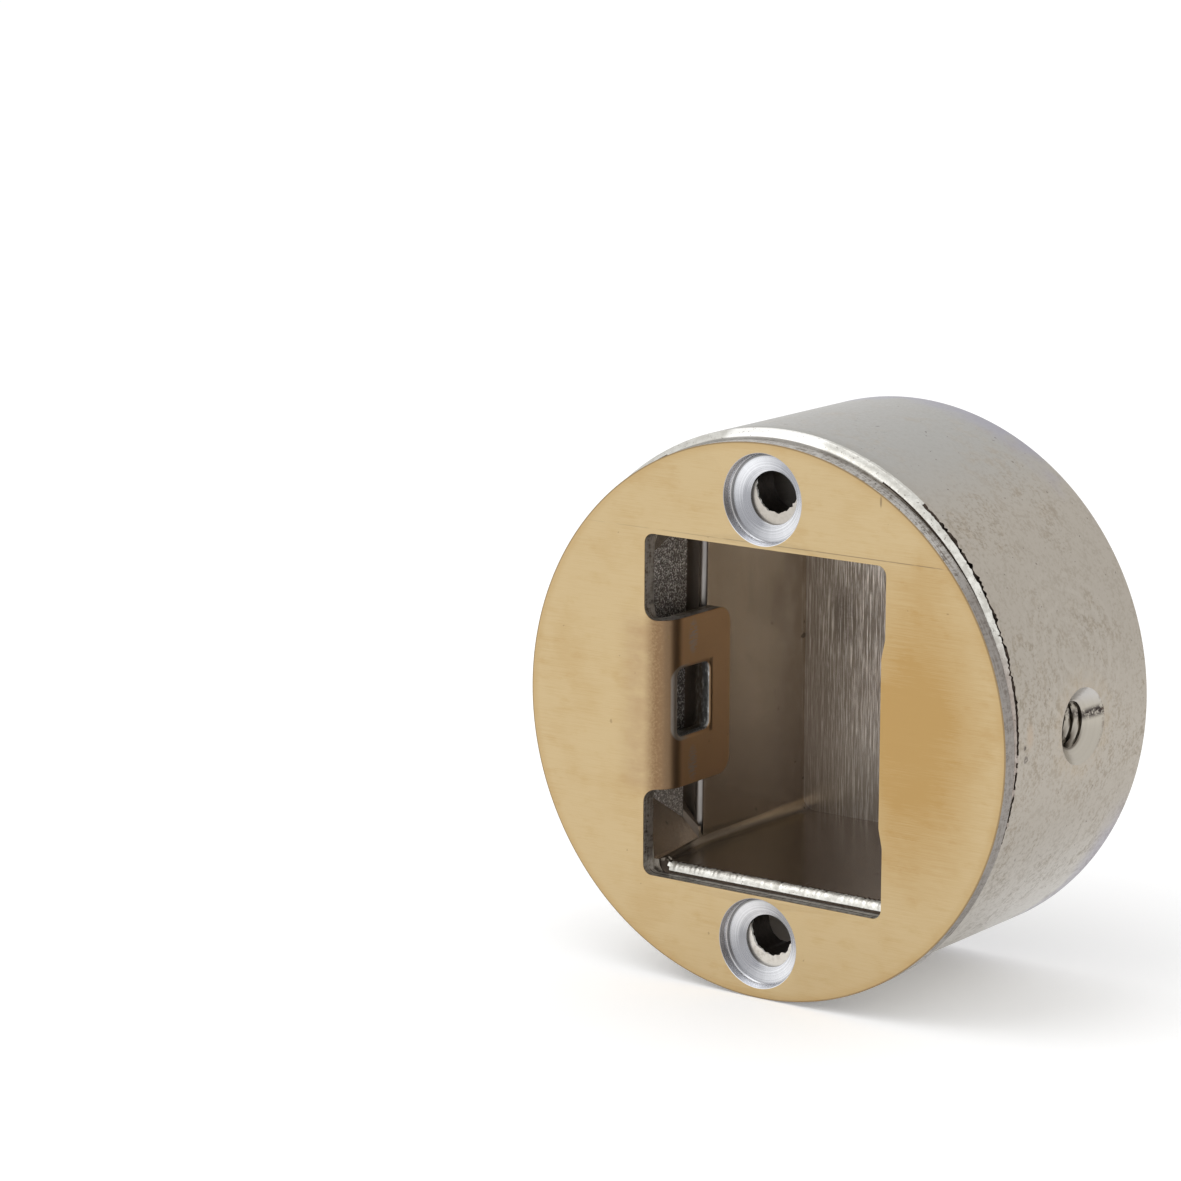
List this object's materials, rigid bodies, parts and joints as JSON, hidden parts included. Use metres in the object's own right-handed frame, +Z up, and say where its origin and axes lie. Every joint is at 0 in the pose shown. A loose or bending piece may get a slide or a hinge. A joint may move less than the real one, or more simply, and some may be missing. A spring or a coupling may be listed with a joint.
{
  "type": "round strike box for a deadbolt",
  "caption": "Round metal strike box for a door frame: a brass-faced round plate with a bent adjustable tongue on a cast housing with a pocket for the bolt.",
  "frame": {"origin": "centre of the round face plate, on its front face, midway between the two screw holes", "axes": "-Y out of the front face, +Y into the door frame, +Z up along the line of the two screw holes, +X to the right seen from the front"},
  "size_m": [0.04, 0.0197, 0.0407],
  "materials": {
    "brass_plate": "steel stamping with a finely brushed satin brass face, bare bright screw seats and grey sheared edges",
    "casting": "dull nickel-plated zinc die-casting, faintly stained and pitted, with a bright worn front rim"
  },
  "bodies": {
    "root": {"face_plate": "brass_plate", "housing": "casting"}
  },
  "joints": []
}
